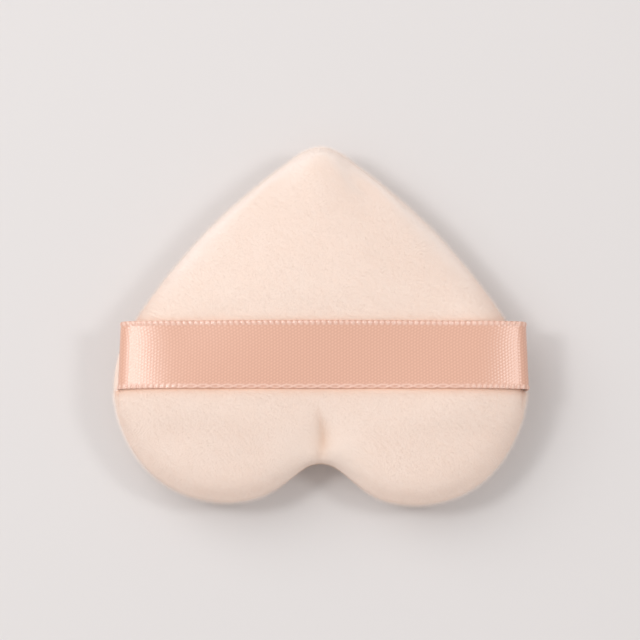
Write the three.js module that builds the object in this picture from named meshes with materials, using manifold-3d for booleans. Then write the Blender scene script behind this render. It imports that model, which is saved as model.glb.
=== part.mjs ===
// A heart-shaped velour powder puff with a satin finger ribbon.
//
// Two heart-shaped velour panels are sewn together inside out, turned through a gap
// in the seam, filled with a sponge and closed by hand. The ribbon crosses the front
// panel. Its tails lie between the two seam allowances, and a short tack holds each.
//
// Millimetres, +Z up. The puff lies on its back panel. The origin is the middle of
// its outline on the surface that it lies on, +X runs along the ribbon, and +Y points
// to the tip of the heart.

import * as THREE from "three";
import { mergeGeometries, mergeVertices } from "three/addons/utils/BufferGeometryUtils.js";
import Module from "manifold-3d";

const wasm = await Module();
wasm.setup();

// Outline of the heart, seen from above
const PUFF_WIDTH = 62;
const PUFF_LENGTH = 53;
const LOBE_RADIUS = 17;
const SIDE_RADIUS = 80;
const TIP_RADIUS = 6;
const CLEFT_RADIUS = 4.5;

// Velour panels
const FRONT_RISE = 7; // from the seam up to the crown
const FRONT_REACH = 14; // how far in from the edge the front goes on curving up
const FRONT_CROWN = 1; // part of the rise that is spread over the whole front
const CROWN_Y = 2; // highest line of the front, from where it falls both ways
const TIP_FALL = 0.7; // by the tip
const LOBE_FALL = 1.1; // by the ends of the lobes
const RIBBON_PRESS = 0.8; // how far the ribbon presses the front in
const BACK_DROP = 5.4; // from the seam down to the face that it lies on
const BACK_REACH = 9; // how far in from the edge that face starts
const PANEL_THICKNESS = 1.4; // knitted backing and pile
const FOLD_RADIUS = 0.8; // where a panel turns in at the seam
const ALLOWANCE_WIDTH = 3.5; // turned in past the edge
const ALLOWANCE_THICKNESS = 0.7; // the pile is crushed there

// Satin ribbon
const RIBBON_WIDTH = 10;
const RIBBON_THICKNESS = 0.3;
const RIBBON_Y = -5; // middle line of the ribbon
const RIBBON_TAIL = 3.3; // caught in the seam, from the edge in

// Sewing
const THREAD_DIAMETER = 0.3;
const STITCH_LENGTH = 4.8;
const STITCH_INSET = 2.1; // seam line, from the edge in
const CLOSING_START = 18; // along the seam, from the cleft to the turning gap
const CLOSING_LENGTH = 22; // the turning gap
const CLOSING_STITCH = 3.2;
const TACK_INSET = 2.9;
const TACK_LENGTH = 8;
const TACK_STITCH = 2.6;

// Clearances
const CLEARANCE = 0.15; // between layers, and between a thread and its hole
const SPONGE_CLEARANCE = 0.65; // between the sponge and the panels round it

// Facets
const ARC_STEPS = { cleft: 2, lobe: 13, side: 4, tip: 2 }; // of one half of the heart
const OUTSIDE_RINGS = 5;
const INSIDE_RINGS = 5;
const FOLD_STEPS = 2;
const RIBBON_COLUMNS = 6;
const RIBBON_STEPS = 14; // from the crown to the edge
const THREAD_SIDES = 5;
const HOLE_SIDES = 4;

// Heights of the seam and of what lies at it
const SEAM_GAP = RIBBON_THICKNESS + 2 * CLEARANCE;
const SEAM_Z = BACK_DROP + SEAM_GAP / 2;
const FRONT_FOOT = SEAM_Z + SEAM_GAP / 2;
const THREAD_RISE = SEAM_GAP / 2 + ALLOWANCE_THICKNESS + CLEARANCE + THREAD_DIAMETER / 2;
const GROOVE_RISE = THREAD_RISE + THREAD_DIAMETER / 2 + CLEARANCE;
const GROOVE_INSET = ALLOWANCE_WIDTH + SPONGE_CLEARANCE;

// The heart's arcs. A side arc runs tangent from the lobe to the tip, and a small
// arc joins the lobes in the cleft.
const LOBE = new THREE.Vector2(PUFF_WIDTH / 2 - LOBE_RADIUS, LOBE_RADIUS - PUFF_LENGTH / 2);
const TIP = new THREE.Vector2(0, PUFF_LENGTH / 2 - TIP_RADIUS);
const CLEFT = new THREE.Vector2(0, LOBE.y - Math.sqrt((LOBE_RADIUS + CLEFT_RADIUS) ** 2 - LOBE.x ** 2));
const SIDE = sideCentre();
const MIDDLE = new THREE.Vector2(0, (LOBE.y + TIP.y) / 2 - LOBE_RADIUS / 2);

function sideCentre() {
  const toLobe = SIDE_RADIUS - LOBE_RADIUS;
  const toTip = SIDE_RADIUS - TIP_RADIUS;
  const apart = TIP.clone().sub(LOBE);
  const span = apart.length();
  const along = (toLobe ** 2 - toTip ** 2 + span ** 2) / (2 * span);
  const across = Math.sqrt(toLobe ** 2 - along ** 2);
  apart.normalize();
  const inwards = new THREE.Vector2(-apart.y, -Math.abs(apart.x));
  return LOBE.clone().addScaledVector(apart, along).addScaledVector(inwards, across);
}

function angleFrom(centre, point) {
  return Math.atan2(point.y - centre.y, point.x - centre.x);
}

// The heart's outline, moved in by an inset, from the cleft round anticlockwise.
function heartCurves(inset) {
  const lobeStart = angleFrom(LOBE, CLEFT);
  const lobeEnd = angleFrom(SIDE, LOBE);
  const tipStart = angleFrom(SIDE, TIP);
  const right = [
    [CLEFT, CLEFT_RADIUS + inset, Math.PI / 2, lobeStart + Math.PI, true, ARC_STEPS.cleft],
    [LOBE, LOBE_RADIUS - inset, lobeStart, lobeEnd, false, ARC_STEPS.lobe],
    [SIDE, SIDE_RADIUS - inset, lobeEnd, tipStart, false, ARC_STEPS.side],
    [TIP, TIP_RADIUS - inset, tipStart, Math.PI / 2, false, ARC_STEPS.tip],
  ];
  const left = right.toReversed().map(([centre, radius, from, to, clockwise, steps]) => {
    const mirrored = new THREE.Vector2(-centre.x, centre.y);
    return [mirrored, radius, Math.PI - to, Math.PI - from, clockwise, steps];
  });
  return [...right, ...left].map(([centre, radius, from, to, clockwise, steps]) => ({
    arc: new THREE.ArcCurve(centre.x, centre.y, radius, from, to, clockwise),
    steps,
  }));
}

function heartOutline(inset) {
  return heartCurves(inset).flatMap(({ arc, steps }) => arc.getPoints(steps).slice(1));
}

function heartPath(inset) {
  const path = new THREE.CurvePath();
  heartCurves(inset).forEach(({ arc }) => path.add(arc));
  return path;
}

// Height of a stuffed panel above its rim, as a share of its rise, at a distance in
// from the edge: a quarter of an ellipse that ends level at the reach.
function swell(distance, reach) {
  const share = THREE.MathUtils.clamp(distance / reach, 0, 1);
  return Math.sqrt(1 - (1 - share) ** 2);
}

// How far the front lies below its full rise at a given y: it falls from the crown to the
// tip and to the lobes, and is pressed in along the ribbon.
function frontSag(y) {
  const fall = y > CROWN_Y
    ? TIP_FALL * THREE.MathUtils.inverseLerp(CROWN_Y, PUFF_LENGTH / 2, y)
    : LOBE_FALL * THREE.MathUtils.inverseLerp(CROWN_Y, -PUFF_LENGTH / 2, y);
  return fall + RIBBON_PRESS * Math.exp(-(((y - RIBBON_Y) / RIBBON_WIDTH) ** 2) * 2);
}

// Rings of a dome over an outline, from its rim in towards the middle, and its pole.
// A negative rise makes the dome hang down. Only one that rises has the front's sag.
function dome(inset, rimZ, rise, reach, crown, count) {
  const outline = heartOutline(inset);
  const spread = Math.sign(rise) * crown;
  const sag = (y) => (rise > 0 ? frontSag(y) : 0);
  const rings = [];
  for (let k = 0; k < count; k++) {
    const scale = 1 - (k / count) ** 2;
    rings.push(outline.map((point) => {
      const ray = point.clone().sub(MIDDLE);
      const share = swell((1 - scale) * ray.length(), reach);
      const at = ray.multiplyScalar(scale).add(MIDDLE);
      const height = (rise - spread - sag(at.y)) * share + spread * (1 - scale ** 2);
      return new THREE.Vector3(at.x, at.y, rimZ + height);
    }));
  }
  return { rings, pole: new THREE.Vector3(MIDDLE.x, MIDDLE.y, rimZ + rise - sag(MIDDLE.y)) };
}

function flatRing(inset, z) {
  return heartOutline(inset).map((point) => new THREE.Vector3(point.x, point.y, z));
}

// A closed skin from a first pole, over rings of equal counts, to a last pole. Seen from
// outside, the rings run anticlockwise about the first pole.
function skin(firstPole, rings, lastPole) {
  const count = rings[0].length;
  const points = [firstPole, ...rings.flat(), lastPole];
  const faces = [];
  const at = (ring, i) => 1 + ring * count + (i % count);
  for (let i = 0; i < count; i++) {
    faces.push(0, at(0, i), at(0, i + 1));
    for (let ring = 0; ring < rings.length - 1; ring++) {
      faces.push(at(ring, i), at(ring + 1, i), at(ring + 1, i + 1));
      faces.push(at(ring, i), at(ring + 1, i + 1), at(ring, i + 1));
    }
    faces.push(points.length - 1, at(rings.length - 1, i + 1), at(rings.length - 1, i));
  }
  return new THREE.BufferGeometry().setFromPoints(points).setIndex(faces);
}

// The outside of a velour panel, from the fold at the seam up. Up is 1 for the front and
// -1 for the back, which is the same shell hung below the seam.
function panelOutside(up, rise, reach, crown) {
  const foldZ = SEAM_Z + up * (SEAM_GAP / 2 + FOLD_RADIUS);
  return dome(0, foldZ, up * (rise - FOLD_RADIUS), reach, crown, OUTSIDE_RINGS);
}

// A velour panel with its seam allowance turned in.
function panel(up, rise, reach, crown) {
  const footZ = SEAM_Z + (up * SEAM_GAP) / 2;
  const outer = panelOutside(up, rise, reach, crown);
  const innerRimZ = footZ + up * ALLOWANCE_THICKNESS;
  const innerRise = rise - PANEL_THICKNESS - ALLOWANCE_THICKNESS;
  const inner = dome(PANEL_THICKNESS, innerRimZ, up * innerRise, reach, crown, INSIDE_RINGS);
  const fold = [];
  for (let step = 1; step <= FOLD_STEPS; step++) {
    const turn = (step / FOLD_STEPS) * (Math.PI / 2);
    const inset = FOLD_RADIUS * (1 - Math.cos(turn));
    fold.push(flatRing(inset, footZ + up * FOLD_RADIUS * (1 - Math.sin(turn))));
  }
  const allowance = [flatRing(ALLOWANCE_WIDTH, footZ), flatRing(ALLOWANCE_WIDTH, innerRimZ)];
  const rings = [...outer.rings.toReversed(), ...fold, ...allowance, ...inner.rings];
  return up > 0
    ? skin(outer.pole, rings, inner.pole)
    : skin(inner.pole, rings.toReversed(), outer.pole);
}

// The sponge fills both panels and has a groove round its edge for the allowances.
function sponge() {
  const inset = PANEL_THICKNESS + SPONGE_CLEARANCE;
  const roof = PANEL_THICKNESS + SPONGE_CLEARANCE + GROOVE_RISE - SEAM_GAP / 2;
  const topZ = SEAM_Z + GROOVE_RISE;
  const bottomZ = SEAM_Z - GROOVE_RISE;
  const above = dome(inset, topZ, FRONT_RISE - roof, FRONT_REACH, FRONT_CROWN, INSIDE_RINGS);
  const below = dome(inset, bottomZ, roof - BACK_DROP, BACK_REACH, 0, INSIDE_RINGS);
  const groove = [flatRing(GROOVE_INSET, topZ), flatRing(GROOVE_INSET, bottomZ)];
  return skin(above.pole, [...above.rings.toReversed(), ...groove, ...below.rings], below.pole);
}

// Where the front panel's edge lies at a given y, on the right.
function edgeX(outline, y) {
  const crossings = outline.map((from, i) => {
    const to = outline[(i + 1) % outline.length];
    const crosses = (from.y - y) * (to.y - y) <= 0 && from.y !== to.y;
    return crosses ? THREE.MathUtils.mapLinear(y, from.y, to.y, from.x, to.x) : 0;
  });
  return Math.max(...crossings);
}

// Height of a dome's facets at a place. A ring is a scaled copy of the outline about the
// middle, so the place is a mix of two neighbouring corners of the outline: the sum of
// their shares is the scale of the ring through it.
function heightOn({ rings, pole }, x, y) {
  const place = new THREE.Vector2(x, y).sub(MIDDLE);
  const corners = rings[0].map((point) => new THREE.Vector2(point.x, point.y).sub(MIDDLE));
  for (let i = 0; i < corners.length; i++) {
    const next = (i + 1) % corners.length;
    const turn = corners[i].cross(corners[next]);
    const shareHere = place.cross(corners[next]) / turn;
    const shareNext = corners[i].cross(place) / turn;
    if (shareHere >= 0 && shareNext >= 0) {
      const scale = shareHere + shareNext;
      const mix = scale > 0 ? shareNext / scale : 0;
      const heights = rings.map((ring) => THREE.MathUtils.lerp(ring[i].z, ring[next].z, mix));
      const scales = rings.map((_, k) => 1 - (k / rings.length) ** 2);
      const k = scales.findLastIndex((ringScale) => ringScale >= Math.min(scale, 1));
      const [innerZ, innerScale] = [heights[k + 1] ?? pole.z, scales[k + 1] ?? 0];
      return THREE.MathUtils.mapLinear(Math.min(scale, 1), scales[k], innerScale, heights[k], innerZ);
    }
  }
  return pole.z;
}

// Half of the ribbon's run at a given y, as points in X and Z on the front panel: from
// the crown out to the edge, round the fold and in between the allowances.
function ribbonRun(front, y) {
  const edge = edgeX(front.rings[0], y);
  const run = [];
  for (let step = 0; step <= RIBBON_STEPS; step++) {
    const x = edge * (1 - (1 - step / RIBBON_STEPS) ** 2);
    run.push(new THREE.Vector2(x, heightOn(front, x, y)));
  }
  for (let step = 1; step <= FOLD_STEPS; step++) {
    const turn = (step / FOLD_STEPS) * (Math.PI / 2);
    const x = edge - FOLD_RADIUS * (1 - Math.cos(turn));
    run.push(new THREE.Vector2(x, FRONT_FOOT + FOLD_RADIUS * (1 - Math.sin(turn))));
  }
  run.push(new THREE.Vector2(edge - RIBBON_TAIL, FRONT_FOOT));
  return run;
}

// Moves a run off the panel, square to it.
function lifted(run, distance) {
  return run.map((point, i) => {
    const before = run[i - 1] ?? new THREE.Vector2(-run[1].x, run[1].y);
    const along = (run[i + 1] ?? point).clone().sub(i + 1 < run.length ? before : run[i - 1]);
    along.normalize();
    return new THREE.Vector2(point.x - distance * along.y, point.y + distance * along.x);
  });
}

// The ribbon as a strip of columns across its width. Each column is a loop round the
// ribbon's thickness: the outer side from left to right, then the inner side back.
function ribbon() {
  const front = panelOutside(1, FRONT_RISE, FRONT_REACH, FRONT_CROWN);
  const columns = [];
  for (let column = 0; column <= RIBBON_COLUMNS; column++) {
    const y = RIBBON_Y + RIBBON_WIDTH * (column / RIBBON_COLUMNS - 1 / 2);
    const run = ribbonRun(front, y);
    const outer = bothSides(lifted(run, CLEARANCE + RIBBON_THICKNESS));
    const inner = bothSides(lifted(run, CLEARANCE));
    const loop = [...outer, ...inner.toReversed()];
    columns.push(loop.map((point) => new THREE.Vector3(point.x, y, point.y)));
  }
  return strip(columns);
}

function bothSides(run) {
  const left = run.slice(1).toReversed().map((point) => new THREE.Vector2(-point.x, point.y));
  return [...left, ...run];
}

// A solid through loops that go once round a strip. The ends are closed by pairing the
// loop's outer points with the inner points opposite.
function strip(loops) {
  const count = loops[0].length;
  const last = loops.length - 1;
  const faces = [];
  const at = (loop, i) => loop * count + (i % count);
  const quad = (a, b, c, d) => faces.push(a, b, c, a, c, d);
  for (let loop = 0; loop < last; loop++) {
    for (let i = 0; i < count; i++) {
      quad(at(loop, i), at(loop, i + 1), at(loop + 1, i + 1), at(loop + 1, i));
    }
  }
  for (let i = 0; i < count / 2 - 1; i++) {
    const opposite = count - 1 - i;
    quad(at(0, i), at(0, opposite), at(0, opposite - 1), at(0, i + 1));
    quad(at(last, i), at(last, i + 1), at(last, opposite - 1), at(last, opposite));
  }
  return new THREE.BufferGeometry().setFromPoints(loops.flat()).setIndex(faces);
}

// A row of running stitches along the seam, from a start to an end that are measured
// along the path from the cleft. The thread passes through the layers at each hole.
function stitches(inset, start, end, stitchLength) {
  const path = heartPath(inset);
  const whole = path.getLength();
  const count = Math.max(1, Math.round((end - start) / stitchLength));
  const pitch = (end - start) / count;
  const bend = THREAD_DIAMETER;
  const thread = [];
  const holes = [];
  const place = (distance, z) => {
    const share = (((distance / whole) % 1) + 1) % 1;
    const at = path.getPoint(share);
    const along = path.getTangent(share);
    return { at: new THREE.Vector3(at.x, at.y, z), across: new THREE.Vector3(along.y, -along.x, 0) };
  };
  for (let i = 0; i <= count; i++) {
    const distance = start + i * pitch;
    const side = i % 2 === 0 ? 1 : -1;
    const runZ = side * THREAD_RISE;
    thread.push(place(distance - bend, SEAM_Z + runZ));
    thread.push(place(distance, SEAM_Z + runZ - side * bend));
    thread.push(place(distance, SEAM_Z - runZ + side * bend));
    thread.push(place(distance + bend, SEAM_Z - runZ));
    holes.push(needleHole(place(distance, SEAM_Z)));
  }
  return { thread: tube(thread), holes };
}

// A round thread through points, each with the direction across the seam.
function tube(points) {
  const radius = THREAD_DIAMETER / 2;
  const rings = points.map(({ at, across }, i) => {
    const before = (points[i - 1] ?? points[i]).at;
    const after = (points[i + 1] ?? points[i]).at;
    const up = after.clone().sub(before).normalize().cross(across);
    const ring = [];
    for (let side = 0; side < THREAD_SIDES; side++) {
      const turn = (side / THREAD_SIDES) * 2 * Math.PI;
      const point = at.clone().addScaledVector(across, radius * Math.cos(turn));
      ring.push(point.addScaledVector(up, -radius * Math.sin(turn)));
    }
    return ring;
  });
  return skin(points[0].at, rings, points.at(-1).at);
}

// What a needle takes out of the layers at one stitch.
function needleHole({ at, across }) {
  const inscribed = THREAD_DIAMETER / 2 + CLEARANCE;
  const radius = inscribed / Math.cos(Math.PI / HOLE_SIDES);
  const height = 2 * GROOVE_RISE;
  return new THREE.CylinderGeometry(radius, radius, height, HOLE_SIDES)
    .rotateX(Math.PI / 2)
    .rotateZ(Math.atan2(across.y, across.x) + Math.PI / HOLE_SIDES)
    .translate(at.x, at.y, at.z);
}

function solidFrom(geometry) {
  const bare = geometry.clone();
  ["normal", "uv"].forEach((name) => bare.deleteAttribute(name));
  const merged = mergeVertices(bare);
  return new wasm.Manifold(new wasm.Mesh({
    numProp: 3,
    vertProperties: merged.getAttribute("position").array,
    triVerts: Uint32Array.from(merged.index.array),
  }));
}

function geometryFrom(solid) {
  const { vertProperties, triVerts } = solid.getMesh();
  return new THREE.BufferGeometry()
    .setAttribute("position", new THREE.BufferAttribute(vertProperties, 3))
    .setIndex(new THREE.BufferAttribute(triVerts, 1));
}

// How far along a seam line, from the cleft, the line comes to the ribbon's middle on
// the right.
function ribbonDistance(inset) {
  const path = heartPath(inset);
  const samples = 400;
  const points = Array.from({ length: samples }, (_, i) => path.getPoint(i / (2 * samples)));
  const beyondLobe = points.findLastIndex((point) => point.y < RIBBON_Y);
  return (beyondLobe / (2 * samples)) * path.getLength();
}

const seamLength = heartPath(STITCH_INSET).getLength();
const tackLineLength = heartPath(TACK_INSET).getLength();
const tackMiddle = ribbonDistance(TACK_INSET);
const closingEnd = CLOSING_START + CLOSING_LENGTH;
const betweenThreads = CLOSING_STITCH / 2; // where the closing row meets the seam's ends

const seamStart = closingEnd + betweenThreads;
const seamEnd = seamLength + CLOSING_START - betweenThreads;
const seam = stitches(STITCH_INSET, seamStart, seamEnd, STITCH_LENGTH);
const closing = stitches(
  STITCH_INSET,
  CLOSING_START + betweenThreads,
  closingEnd - betweenThreads,
  CLOSING_STITCH,
);
const [tackRight, tackLeft] = [tackMiddle, tackLineLength - tackMiddle].map((middle) =>
  stitches(TACK_INSET, middle - TACK_LENGTH / 2, middle + TACK_LENGTH / 2, TACK_STITCH),
);
const holes = solidFrom(mergeGeometries([seam, closing, tackRight, tackLeft].flatMap((row) => row.holes)));
const pierced = (geometry) => geometryFrom(solidFrom(geometry).subtract(holes));

const VELOUR = new THREE.MeshStandardMaterial({ color: "#f8decd", roughness: 0.95, metalness: 0 });
const SPONGE = new THREE.MeshStandardMaterial({ color: "#f7ead9", roughness: 0.9, metalness: 0 });
const SATIN = new THREE.MeshStandardMaterial({ color: "#e8b49c", roughness: 0.4, metalness: 0 });
const THREAD = new THREE.MeshStandardMaterial({ color: "#f3d3c2", roughness: 0.7, metalness: 0 });

const puff = new THREE.Group();
const pieces = [
  ["front_panel", pierced(panel(1, FRONT_RISE, FRONT_REACH, FRONT_CROWN)), VELOUR],
  ["back_panel", pierced(panel(-1, BACK_DROP, BACK_REACH, 0)), VELOUR],
  ["sponge_core", sponge(), SPONGE],
  ["satin_ribbon", pierced(ribbon()), SATIN],
  ["seam_thread", seam.thread, THREAD],
  ["closing_thread", closing.thread, THREAD],
  ["ribbon_tack_left", tackLeft.thread, THREAD],
  ["ribbon_tack_right", tackRight.thread, THREAD],
];
for (const [name, geometry, material] of pieces) {
  geometry.computeVertexNormals();
  const mesh = new THREE.Mesh(geometry, material);
  mesh.name = name;
  puff.add(mesh);
}

export default puff;
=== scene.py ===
# %% [markdown]
# # A heart-shaped powder puff
#
# The real puff is two velour panels sewn round a sponge, with a satin ribbon across the
# front for the fingers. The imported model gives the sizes, the places and the one joint.
# This script dresses it: it inflates the velour with a cloth simulation, grows the pile on
# it as real fibres, weaves the ribbon's relief and lights the whole as in a small studio.

# %% Load the frame
import math

import bpy
import numpy as np
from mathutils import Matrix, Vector


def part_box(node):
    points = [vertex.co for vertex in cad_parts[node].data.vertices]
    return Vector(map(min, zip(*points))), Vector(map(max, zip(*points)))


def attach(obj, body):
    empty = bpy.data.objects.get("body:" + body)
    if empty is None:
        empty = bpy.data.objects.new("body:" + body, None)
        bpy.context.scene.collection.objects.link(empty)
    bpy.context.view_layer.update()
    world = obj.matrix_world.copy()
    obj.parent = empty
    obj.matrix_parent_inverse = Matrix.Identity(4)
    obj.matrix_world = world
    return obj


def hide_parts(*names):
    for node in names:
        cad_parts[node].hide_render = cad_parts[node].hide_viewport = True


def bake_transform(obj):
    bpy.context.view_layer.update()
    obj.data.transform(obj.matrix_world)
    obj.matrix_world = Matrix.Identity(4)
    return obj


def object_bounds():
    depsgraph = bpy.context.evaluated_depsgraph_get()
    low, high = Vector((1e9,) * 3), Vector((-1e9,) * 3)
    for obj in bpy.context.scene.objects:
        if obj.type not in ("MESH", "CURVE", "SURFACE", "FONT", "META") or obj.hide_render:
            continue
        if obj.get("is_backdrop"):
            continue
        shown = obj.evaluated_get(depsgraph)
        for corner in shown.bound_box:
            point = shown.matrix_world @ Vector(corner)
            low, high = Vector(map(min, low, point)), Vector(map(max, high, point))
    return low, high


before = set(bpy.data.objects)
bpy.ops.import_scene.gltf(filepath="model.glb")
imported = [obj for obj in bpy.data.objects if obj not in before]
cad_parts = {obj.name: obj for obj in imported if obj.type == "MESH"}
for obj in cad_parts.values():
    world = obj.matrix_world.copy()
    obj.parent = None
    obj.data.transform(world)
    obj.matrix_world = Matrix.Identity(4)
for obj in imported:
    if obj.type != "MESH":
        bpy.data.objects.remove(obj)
cad_low, cad_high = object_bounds()
print("CAD box in mm:", [round(1000 * (b - a), 1) for a, b in zip(cad_low, cad_high)])

# %% [markdown]
# ## Sizes
#
# Blender works in metres here, and a powder puff is easier to think of in millimetres, so
# sizes are written as a number times MM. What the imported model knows, such as the puff's
# width, the seam's height and the ribbon's place, is read from the boxes of its nodes.

# %% Sizes
MM = 0.001
panel_low, panel_high = (np.array(corner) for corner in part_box("front_panel"))
back_high = np.array(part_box("back_panel")[1])
ribbon_low, ribbon_high = (np.array(corner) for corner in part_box("satin_ribbon"))
PUFF_WIDTH = panel_high[0] - panel_low[0]
PUFF_LENGTH = panel_high[1] - panel_low[1]
FRONT_Z = panel_high[2]  # top of the pile at the crown
SEAM_Z = (panel_low[2] + back_high[2]) / 2
RIBBON_Y = (ribbon_low[1] + ribbon_high[1]) / 2
RIBBON_WIDTH = round(float(ribbon_high[1] - ribbon_low[1]), 5)
RIBBON_HALF = RIBBON_WIDTH / 2
print("seam at", round(SEAM_Z / MM, 2), "mm, ribbon", round(RIBBON_WIDTH / MM, 1), "mm wide")

# %% [markdown]
# ## Camera
#
# The photograph looks nearly straight down: the middle of the ribbon, which is higher than
# its ends, is shifted up the picture by only a few pixels. That gives an elevation of 84
# degrees from the side of the lobes. The ribbon's width gives the scale of the picture.

# %% Camera
PHOTO_PIXELS = 640
RIBBON_PIXELS = 67.5
PIXELS_PER_METRE = RIBBON_PIXELS / RIBBON_WIDTH
PUFF_CENTRE_PIXEL = (320.5, 324.5)
CAMERA_ELEVATION = math.radians(84)
CAMERA_DISTANCE = 0.6
CAMERA_SENSOR = 36.0

shift_x = (PHOTO_PIXELS / 2 - PUFF_CENTRE_PIXEL[0]) / PIXELS_PER_METRE
shift_y = (PUFF_CENTRE_PIXEL[1] - PHOTO_PIXELS / 2) / PIXELS_PER_METRE
target = Vector((shift_x, shift_y, SEAM_Z))
to_camera = Vector((0, -math.cos(CAMERA_ELEVATION), math.sin(CAMERA_ELEVATION)))
bpy.ops.object.camera_add(location=target + CAMERA_DISTANCE * to_camera)
camera = bpy.context.object
camera.rotation_euler = to_camera.to_track_quat("Z", "Y").to_euler()
camera.data.sensor_width = CAMERA_SENSOR
camera.data.lens = CAMERA_SENSOR * CAMERA_DISTANCE / (PHOTO_PIXELS / PIXELS_PER_METRE)
bpy.context.scene.camera = camera
print("lens", round(camera.data.lens), "mm")

# %% [markdown]
# ## Nodes as sums
#
# Materials are graphs of nodes, which are hard to read as code. The class below wraps one
# output socket, so that `floats + weight * wave` adds its Math nodes by itself. Every other
# node comes from its method `node`.


# %% Nodes as sums
class Wire:
    """An output socket that takes part in Python sums."""

    def __init__(self, socket):
        self.socket = socket

    @staticmethod
    def node(tree, kind, settings=None, inputs=None, output=0):
        """Adds a node, sets it up, sets or links its inputs and gives one of its outputs."""
        made = tree.nodes.new(kind)
        for name, value in (settings or {}).items():
            setattr(made, name, value)
        for name, value in (inputs or {}).items():
            if isinstance(value, Wire):
                tree.links.new(value.socket, made.inputs[name])
            else:
                made.inputs[name].default_value = value
        return Wire(made.outputs[output]) if made.outputs else None

    def beside(self, output):
        """Another output of the same node."""
        return Wire(self.socket.node.outputs[output])

    def maths(self, operation, *others):
        inputs = dict(enumerate((self, *others)))
        return Wire.node(self.socket.id_data, "ShaderNodeMath", {"operation": operation}, inputs)

    def __add__(self, other):
        return self.maths("ADD", other)

    def __mul__(self, other):
        return self.maths("MULTIPLY", other)

    __radd__ = __add__
    __rmul__ = __mul__

    def cosine(self):
        return self.maths("COSINE")


# %% [markdown]
# ## Materials
#
# Every finish here starts from an empty graph and ends in one Principled shader. Colours
# are written as a screen shows them and turned into linear light by the sRGB curve.


# %% Materials
def linear(red, green, blue):
    """A colour as a screen shows it, from 0 to 255, in the linear light of the renderer."""
    shown = np.array([red, green, blue]) / 255
    return (*np.where(shown <= 0.04045, shown / 12.92, ((shown + 0.055) / 1.055) ** 2.4), 1.0)


def new_material(name):
    material = bpy.data.materials.new(name)
    material.use_nodes = True
    material.node_tree.nodes.clear()
    print("material", name)
    return material, material.node_tree


def finish_material(tree, inputs):
    surface = Wire.node(tree, "ShaderNodeBsdfPrincipled", inputs=inputs)
    Wire.node(tree, "ShaderNodeOutputMaterial", inputs={"Surface": surface})


def object_noise(tree, size, detail):
    """Noise with features of a given size, fixed to the object."""
    coordinates = Wire.node(tree, "ShaderNodeTexCoord", output="Object")
    inputs = {"Vector": coordinates, "Scale": 1 / size, "Detail": detail}
    return Wire.node(tree, "ShaderNodeTexNoise", inputs=inputs, output="Fac")


def attribute(tree, name, output="Fac"):
    """What a mesh keeps for each of its points."""
    return Wire.node(tree, "ShaderNodeAttribute", {"attribute_name": name}, output=output)


def mix_colours(tree, factor, first, second):
    """A Mix node, whose colour sockets come after those for numbers and vectors."""
    settings = {"data_type": "RGBA"}
    inputs = {0: factor, 6: first, 7: second}
    return Wire.node(tree, "ShaderNodeMix", settings, inputs, output=2)


# %% [markdown]
# ## Floor and light
#
# The puff lies on a plain pale sheet. The main lamp is large and stands far to the left on
# the tip's side, so a soft shadow falls to the right and a little below the lobes. Two
# smaller ones at the sides shine on the ends of the ribbon, where it slopes down, and the
# world fills the rest.

# %% Floor and light
FLOOR_SIZE = 3.0
FLOOR_TONE = linear(224, 220, 219)
KEY_PLACE = Vector((-0.4, 0.3, 0.52))
KEY_SIZE = 0.7
KEY_POWER = 2.05
SIDE_SIZE = 0.16
LEFT_PLACE = Vector((-0.37, 0.06, 0.6))
LEFT_POWER = 0.85
RIGHT_PLACE = Vector((0.41, 0.05, 0.58))
RIGHT_POWER = 0.76
WORLD_TONE = linear(255, 253, 252)
WORLD_STRENGTH = 0.555

bpy.ops.mesh.primitive_plane_add(size=FLOOR_SIZE)
floor = bpy.context.object
floor.name = "floor"
floor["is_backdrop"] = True
paper, tree = new_material("pale_paper")
finish_material(tree, {"Base Color": FLOOR_TONE, "Roughness": 0.8})
floor.data.materials.append(paper)


def soft_lamp(name, place, size, power):
    bpy.ops.object.light_add(type="AREA", location=place)
    lamp = bpy.context.object
    lamp.name = name
    lamp.data.shape = "DISK"
    lamp.data.size = size
    lamp.data.energy = power
    lamp.rotation_euler = place.to_track_quat("Z", "Y").to_euler()
    print(name, "lamp of", power, "W")


soft_lamp("key", KEY_PLACE, KEY_SIZE, KEY_POWER)
soft_lamp("left", LEFT_PLACE, SIDE_SIZE, LEFT_POWER)
soft_lamp("right", RIGHT_PLACE, SIDE_SIZE, RIGHT_POWER)
world = bpy.data.worlds.new("studio")
bpy.context.scene.world = world
world.use_nodes = True
background = world.node_tree.nodes["Background"]
background.inputs["Color"].default_value = WORLD_TONE
background.inputs["Strength"].default_value = WORLD_STRENGTH
bpy.context.scene.view_settings.view_transform = "Standard"

# %% [markdown]
# ## Velour
#
# Velour is a knit with a short brushed pile, both matt and warm. The knit below is set a touch
# paler than the pile, as painted light against the shade that the fibres cast on it. The pile
# is bright where one looks along the fibres, which is what Sheen does. Brushing lays the pile
# in soft patches, so its colour drifts a little. Three tints are painted light and shade: a
# warmer, deeper one along the ribbon for the light it throws back and its shade, a painted
# shade in the crease and the cleft, and a paler one on the upper flanks and round the edge for
# the light that comes through the loose fibres. Attributes kept on the mesh say where.

# %% Velour
# The knit's tones are set paler than the pile's: painted light against the fibres' shade on it.
KNIT_DEEP = linear(245, 226, 213)
KNIT_PALE = linear(247, 231, 220)
KNIT_PATCH = 6 * MM
KNIT_SHEEN = 0.2
PILE_DEEP = linear(241, 220, 207)
PILE_PALE = linear(243, 225, 214)
PILE_PATCH = 4 * MM
PILE_SHEEN = 0.7
SHEEN_TINT = linear(255, 248, 244)
# Painted bounce light and shade from the ribbon, as a warmer, deeper tint.
RIBBON_GLOW_TINT = linear(243, 192, 160)
SHADED_PILE = linear(208, 168, 137)
# Painted light that comes through the fibres at the rim and on the flanks.
RIM_LIGHT_TINT = linear(255, 252, 250)
DRIFT_DETAIL = 2


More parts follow.
